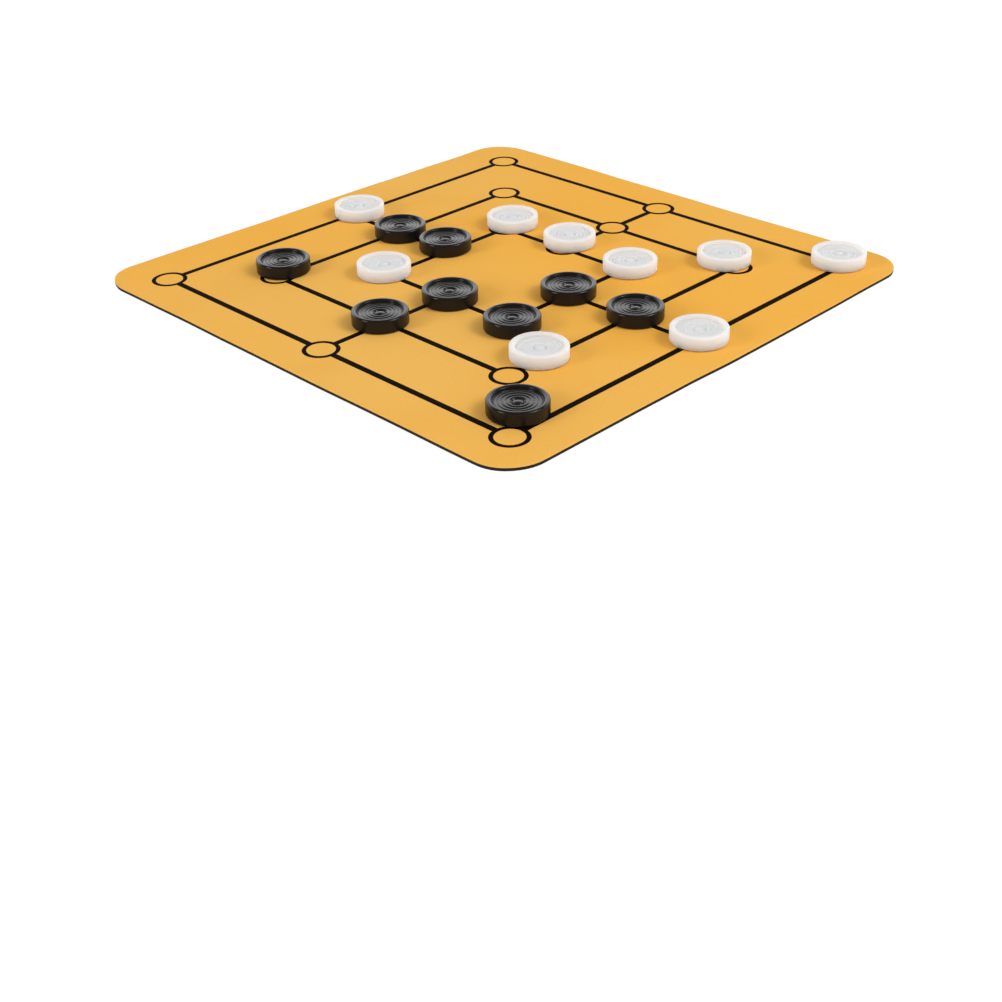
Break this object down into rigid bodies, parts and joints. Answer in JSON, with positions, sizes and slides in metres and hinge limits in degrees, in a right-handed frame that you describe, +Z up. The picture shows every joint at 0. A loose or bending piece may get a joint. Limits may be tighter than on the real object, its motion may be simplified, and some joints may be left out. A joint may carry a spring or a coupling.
{
  "type": "nine men's morris set",
  "caption": "Roll-up foam mat with the nine men's morris board drawn on it and black and white stacking men standing on its points.",
  "frame": {"origin": "middle of the mat's underside, on the surface that it lies on", "axes": "+Z up out of the mat, +X and +Y along the sides of the mat, so that the drawn squares lie along both"},
  "size_m": [0.3034, 0.299, 0.0094],
  "materials": {
    "mat_backing": "matt black foam rubber with a fine anti-slip grain",
    "mat_face": "matt ochre yellow printed cloth with a fine close grain",
    "board_ink": "matt brown-black ink, flush with the cloth",
    "black_plastic": "glossy injection-moulded black plastic",
    "white_plastic": "glossy milky white injection-moulded plastic"
  },
  "bodies": {
    "mat": {"mat_backing": "mat_backing", "mat_face": "mat_face", "board_drawing": "board_ink"},
    "black_man_1": {"black_man_1": "black_plastic"},
    "black_man_2": {"black_man_2": "black_plastic"},
    "black_man_3": {"black_man_3": "black_plastic"},
    "black_man_4": {"black_man_4": "black_plastic"},
    "black_man_5": {"black_man_5": "black_plastic"},
    "black_man_6": {"black_man_6": "black_plastic"},
    "black_man_7": {"black_man_7": "black_plastic"},
    "black_man_8": {"black_man_8": "black_plastic"},
    "black_man_9": {"black_man_9": "black_plastic"},
    "white_man_1": {"white_man_1": "white_plastic"},
    "white_man_2": {"white_man_2": "white_plastic"},
    "white_man_3": {"white_man_3": "white_plastic"},
    "white_man_4": {"white_man_4": "white_plastic"},
    "white_man_5": {"white_man_5": "white_plastic"},
    "white_man_6": {"white_man_6": "white_plastic"},
    "white_man_7": {"white_man_7": "white_plastic"},
    "white_man_8": {"white_man_8": "white_plastic"},
    "white_man_9": {"white_man_9": "white_plastic"}
  },
  "joints": [
    {"name": "black_man_1_lift", "type": "slide", "parent": "mat", "child": "black_man_1", "axis": [0, 0, 1], "range_m": [0, 0.04]},
    {"name": "black_man_2_lift", "type": "slide", "parent": "mat", "child": "black_man_2", "axis": [0, 0, 1], "range_m": [0, 0.04]},
    {"name": "black_man_3_lift", "type": "slide", "parent": "mat", "child": "black_man_3", "axis": [0, 0, 1], "range_m": [0, 0.04]},
    {"name": "black_man_4_lift", "type": "slide", "parent": "mat", "child": "black_man_4", "axis": [0, 0, 1], "range_m": [0, 0.04]},
    {"name": "black_man_5_lift", "type": "slide", "parent": "mat", "child": "black_man_5", "axis": [0, 0, 1], "range_m": [0, 0.04]},
    {"name": "black_man_6_lift", "type": "slide", "parent": "mat", "child": "black_man_6", "axis": [0, 0, 1], "range_m": [0, 0.04]},
    {"name": "black_man_7_lift", "type": "slide", "parent": "mat", "child": "black_man_7", "axis": [0, 0, 1], "range_m": [0, 0.04]},
    {"name": "black_man_8_lift", "type": "slide", "parent": "mat", "child": "black_man_8", "axis": [0, 0, 1], "range_m": [0, 0.04]},
    {"name": "black_man_9_lift", "type": "slide", "parent": "mat", "child": "black_man_9", "axis": [0, 0, 1], "range_m": [0, 0.04]},
    {"name": "white_man_1_lift", "type": "slide", "parent": "mat", "child": "white_man_1", "axis": [0, 0, 1], "range_m": [0, 0.04]},
    {"name": "white_man_2_lift", "type": "slide", "parent": "mat", "child": "white_man_2", "axis": [0, 0, 1], "range_m": [0, 0.04]},
    {"name": "white_man_3_lift", "type": "slide", "parent": "mat", "child": "white_man_3", "axis": [0, 0, 1], "range_m": [0, 0.04]},
    {"name": "white_man_4_lift", "type": "slide", "parent": "mat", "child": "white_man_4", "axis": [0, 0, 1], "range_m": [0, 0.04]},
    {"name": "white_man_5_lift", "type": "slide", "parent": "mat", "child": "white_man_5", "axis": [0, 0, 1], "range_m": [0, 0.04]},
    {"name": "white_man_6_lift", "type": "slide", "parent": "mat", "child": "white_man_6", "axis": [0, 0, 1], "range_m": [0, 0.04]},
    {"name": "white_man_7_lift", "type": "slide", "parent": "mat", "child": "white_man_7", "axis": [0, 0, 1], "range_m": [0, 0.04]},
    {"name": "white_man_8_lift", "type": "slide", "parent": "mat", "child": "white_man_8", "axis": [0, 0, 1], "range_m": [0, 0.04]},
    {"name": "white_man_9_lift", "type": "slide", "parent": "mat", "child": "white_man_9", "axis": [0, 0, 1], "range_m": [0, 0.04]}
  ]
}
